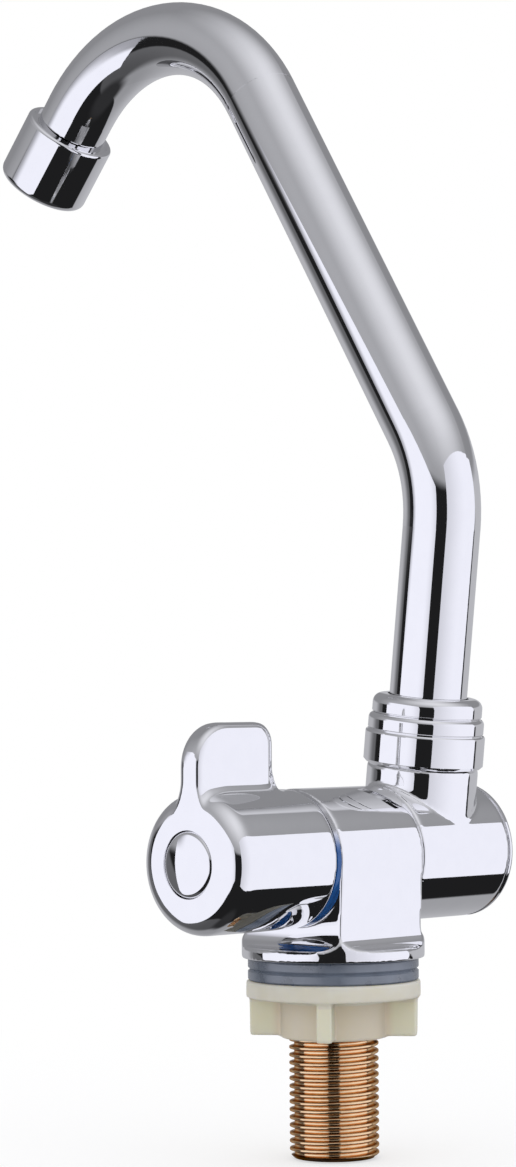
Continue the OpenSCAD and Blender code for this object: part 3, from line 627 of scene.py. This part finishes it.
# Outline drawn point by point, to be turned, screwed or filled
def traceLine(points):
    bpy.ops.object.select_all(action="DESELECT")
    bpy.ops.mesh.primitive_plane_add(size=0.001, location=(0, 0, 0))
    made = bpy.context.object
    editAll()
    bpy.ops.mesh.merge(type="CENTER")
    bpy.ops.transform.translate(value=points[0])
    for start, end in zip(points, points[1:]):
        bpy.ops.mesh.extrude_region_move(TRANSFORM_OT_translate={"value": end - start})
    bpy.ops.object.mode_set(mode="OBJECT")
    return made


# A traced outline turned about the barrel's axis, at this height
def turnLine(points, axis):
    made = traceLine(points)
    editAll()
    bpy.ops.mesh.spin(steps=turnSteps, angle=2 * math.pi, center=(0, 0, axis), axis=(0, 1, 0))
    bpy.ops.mesh.select_all(action="SELECT")
    bpy.ops.mesh.remove_doubles(threshold=mergeDistance)
    faceOutward()
    return made


def levelCylinder(radius, front, rear, height):
    bpy.ops.object.select_all(action="DESELECT")
    bpy.ops.mesh.primitive_cylinder_add(
        vertices=cylinderSides, radius=radius, depth=rear - front, location=(0, (front + rear) / 2, height),
        rotation=(math.radians(90), 0, 0),
    )
    bpy.ops.object.transform_apply(location=True, rotation=True, scale=True)
    return bpy.context.object


# Castings and mouldings with their edges polished soft: a merged copy of the node, remeshed and smoothed
softPieces = {
    "bodyCasting": {
        "node": "tap_body", "body": "body", "slot": "chrome", "voxel": 0.0004, "rounds": 12,
    },
    "swivelCasting": {
        "node": "swivel_body", "body": "swivel", "slot": "chrome", "voxel": 0.0004, "rounds": 12,
    },
    "nutMoulding": {
        "node": "fixing_nut", "body": "nut", "slot": "nylon", "voxel": 0.00035, "rounds": 5,
    },
}

for pieceName, setup in softPieces.items():
    piece = copyNode(pieceName, setup["node"])
    soften(piece, setup)
    bpy.ops.object.shade_smooth()
    finishPiece(piece, pieceName, setup["body"], setup["slot"], setup["node"])
print("soft pieces made:", len(softPieces))


# Knob: a fuller front edge and paddle, the paddle flared into the face, and a crisp recess for the button
knob = {
    "voxel": 0.0004, "rounds": 12, "fillRounds": 220, "crease": 50.0,
    "paddle": 0.0064, "paddleLength": 0.0248,
    "frontCorner": (0.0100, 12), "rearCorner": (0.0050, 8), "rim": (0.0019, 6),  # radius and segments
    "plugMargin": 0.0010, "recessGap": 0.00026, "recessStart": 0.002,
    "edge": 0.0047, "edgeSteps": 16, "wall": 0.0019, "frontWall": 0.0029,
    "flareRadius": 0.0113, "flareTop": 0.0198, "flareFoot": 0.0106, "flareSteps": 18,
    "flareTail": (0.75, 0.66),  # its lowest point, as shares of the one before
    "flareDepth": 0.010, "flareEnd": 0.5,
}


def makePaddle(face, top, axis):
    rear = face + knob["paddleLength"]
    bpy.ops.object.select_all(action="DESELECT")
    bpy.ops.mesh.primitive_cube_add(size=1.0, location=(0, (face + rear) / 2, (axis + top) / 2))
    made = bpy.context.object
    made.scale = (knob["paddle"], rear - face, top - axis)
    bpy.ops.object.transform_apply(location=True, rotation=True, scale=True)

    def onTop(point):
        return point.z > top - nearPlane

    bevelChosen(made, lambda point: onTop(point) and point.y < face + nearPlane, *knob["frontCorner"])
    bevelChosen(made, lambda point: onTop(point) and point.y > rear - nearPlane, *knob["rearCorner"])
    for side in (-1, 1):
        bevelChosen(made, lambda point: point.x * side > knob["paddle"] / 2 - nearPlane, *knob["rim"])
    return made


# Shell of the knob's front, outside its cavity
def makeFront(face, radius, axis):
    edge, wall, frontWall, steps = knob["edge"], knob["wall"], knob["frontWall"], knob["edgeSteps"]
    outline = [(radius - edge - wall, 0.0)]
    for step in range(steps + 1):
        turn = math.pi / 2 * step / steps
        outline.append((radius - edge + edge * math.sin(turn), edge * (1 - math.cos(turn))))
    outline += [(radius, edge + wall), (radius - wall, edge + wall), (radius - wall, frontWall)]
    outline += [(radius - edge - wall, frontWall), outline[0]]
    return turnLine([Vector((x, face + y, axis)) for x, y in outline], axis)


# Flare of the paddle's front edge into the knob's face, fading out rearward
def makeFlare(face, axis):
    reach, top, foot, steps = knob["flareRadius"], knob["flareTop"], knob["flareFoot"], knob["flareSteps"]
    side = []
    for step in range(steps + 1):
        height = top + (foot - top) * step / steps
        side.append((knob["paddle"] / 2 + reach - math.sqrt(reach ** 2 - (top - height) ** 2), height))
    side.append(tuple(size * share for size, share in zip(side[-1], knob["flareTail"])))
    outline = side + [(-x, z) for x, z in reversed(side)]
    made = traceLine([Vector((x, face, axis + z)) for x, z in outline])
    editAll()
    bpy.ops.mesh.edge_face_add()
    bpy.ops.mesh.extrude_region_move(TRANSFORM_OT_translate={"value": (0, knob["flareDepth"], 0)})
    bpy.ops.transform.resize(value=(knob["flareEnd"], 1, 1), center_override=(0, 0, axis))
    faceOutward()
    bevelChosen(made, lambda point: point.y < face + nearPlane, *knob["rim"])
    return made


def makeKnob():
    low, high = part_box("control_knob")
    capLow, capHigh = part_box("knob_cap")
    axis = (capLow.z + capHigh.z) / 2
    capRadius = (capHigh.x - capLow.x) / 2
    piece = copyNode("knobCasting", "control_knob")
    plug = levelCylinder(capRadius + knob["plugMargin"], low.y, capHigh.y, axis)
    added = (makePaddle(low.y, high.z, axis), makeFront(low.y, high.x, axis), makeFlare(low.y, axis))
    joinInto(piece, *added, plug)
    applyModifier(piece, "REMESH", mode="VOXEL", voxel_size=knob["voxel"])
    bpy.ops.object.duplicate()
    filler = bpy.context.object
    applyModifier(filler, "SMOOTH", factor=smoothShare, iterations=knob["fillRounds"])
    joinInto(piece, filler)  # the smoothed copy fills the inside corners only
    soften(piece, knob)
    recess = levelCylinder(capRadius + knob["recessGap"], low.y - knob["recessStart"], capHigh.y, axis)
    carve(piece, "DIFFERENCE", recess, "MANIFOLD")
    shadeByAngle(knob["crease"])
    finishPiece(piece, "knobCasting", "knob", "chrome", "control_knob")
    print("knob made:", len(piece.data.polygons), "faces")


makeKnob()


# Button in the knob's face: a shallow dome with a rounded rim, just proud of the face
button = {
    "crown": 0.00115, "dome": 0.026, "domeSteps": 14, "rimStart": 0.0066, "rim": 0.0015, "rimSteps": 8,
    "foot": 0.003, "crease": 40.0,
}


def makeButton():
    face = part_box("control_knob")[0].y
    low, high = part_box("knob_cap")
    axis = (low.z + high.z) / 2
    crown, dome, start, rim = button["crown"], button["dome"], button["rimStart"], button["rim"]

    def spot(radius, proud):
        return Vector((radius, face - proud, axis))

    points = []
    for step in range(button["domeSteps"] + 1):
        radius = start * step / button["domeSteps"]
        points.append(spot(radius, crown - radius ** 2 / (2 * dome)))
    lean = math.asin(start / dome)
    drop = crown - start ** 2 / (2 * dome)
    for step in range(1, button["rimSteps"] + 1):
        turn = lean + (math.pi / 2 - lean) * step / button["rimSteps"]
        radius = start + rim * (math.sin(turn) - math.sin(lean))
        points.append(spot(radius, drop - rim * (math.cos(lean) - math.cos(turn))))
    points.append(spot(points[-1].x, -button["foot"]))
    points.append(spot(0.0, -button["foot"]))
    piece = turnLine(points, axis)
    shadeByAngle(button["crease"])
    finishPiece(piece, "knobButton", "knob", "chrome", "knob_cap")
    print("button made:", len(piece.data.polygons), "faces")


makeButton()


# Half-inch pipe thread on the shank, its crests on the node's own radius
thread = {
    "pitch": 0.001814, "depth": 0.00116, "flat": 2.2, "points": 24, "steps": 72, "crease": 38.0,
    "spare": 2,  # turns made beyond either end and cut away
    "phase": 0.0035,  # in turns, so that no corner lies on a cut
    "bore": 0.00625, "chamfer": 0.0012, "toolGap": 0.0002, "overshoot": 0.001, "toolSides": 96,
}


def makeHelix(low, high):
    pitch = thread["pitch"]
    start = low.z - (thread["spare"] + thread["phase"]) * pitch

    def profilePoint(index):
        turn = 2 * math.pi * index / thread["points"]
        wave = math.tanh(thread["flat"] * math.cos(turn)) / math.tanh(thread["flat"])
        dip = 0.5 + 0.5 * wave  # broad crests and roots, steep flanks
        return Vector((high.x - thread["depth"] * dip, 0.0, start + pitch * index / thread["points"]))

    piece = traceLine([profilePoint(index) for index in range(thread["points"] + 1)])
    applyModifier(
        piece, "SCREW", axis="Z", angle=2 * math.pi, screw_offset=pitch, steps=thread["steps"],
        render_steps=thread["steps"], iterations=math.ceil((high.z - low.z) / pitch) + 2 * thread["spare"],
        use_merge_vertices=True, merge_threshold=mergeDistance,
    )
    editAll()
    bpy.ops.mesh.remove_doubles(threshold=mergeDistance)
    for cut, outward in ((low.z - pitch / 2, -1.0), (high.z + pitch / 2, 1.0)):
        bpy.ops.mesh.select_all(action="SELECT")
        bpy.ops.mesh.bisect(plane_co=(0, 0, cut), plane_no=(0, 0, outward), use_fill=True, clear_outer=True)
    faceOutward()
    return piece


def makeTool(radius, bottom, depth):
    bpy.ops.object.select_all(action="DESELECT")
    bpy.ops.mesh.primitive_cylinder_add(
        vertices=thread["toolSides"], radius=radius, depth=depth, location=(0, 0, bottom + depth / 2)
    )
    return bpy.context.object


def makeThread():
    low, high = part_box("threaded_shank")
    height = high.z - low.z
    overshoot = thread["overshoot"]
    piece = makeHelix(low, high)
    sleeve = makeTool(high.x + thread["toolGap"], low.z, height)
    bevelChosen(sleeve, lambda point: point.z < 0, thread["chamfer"], 1)  # the chamfer at the lower end
    carve(piece, "INTERSECT", sleeve, "EXACT")
    bore = makeTool(thread["bore"], low.z - overshoot, height + 2 * overshoot)
    carve(piece, "DIFFERENCE", bore, "EXACT")
    shadeByAngle(thread["crease"])
    finishPiece(piece, "shankThread", "body", "raw_brass", "threaded_shank")
    print("thread made:", len(piece.data.polygons), "faces")


makeThread()
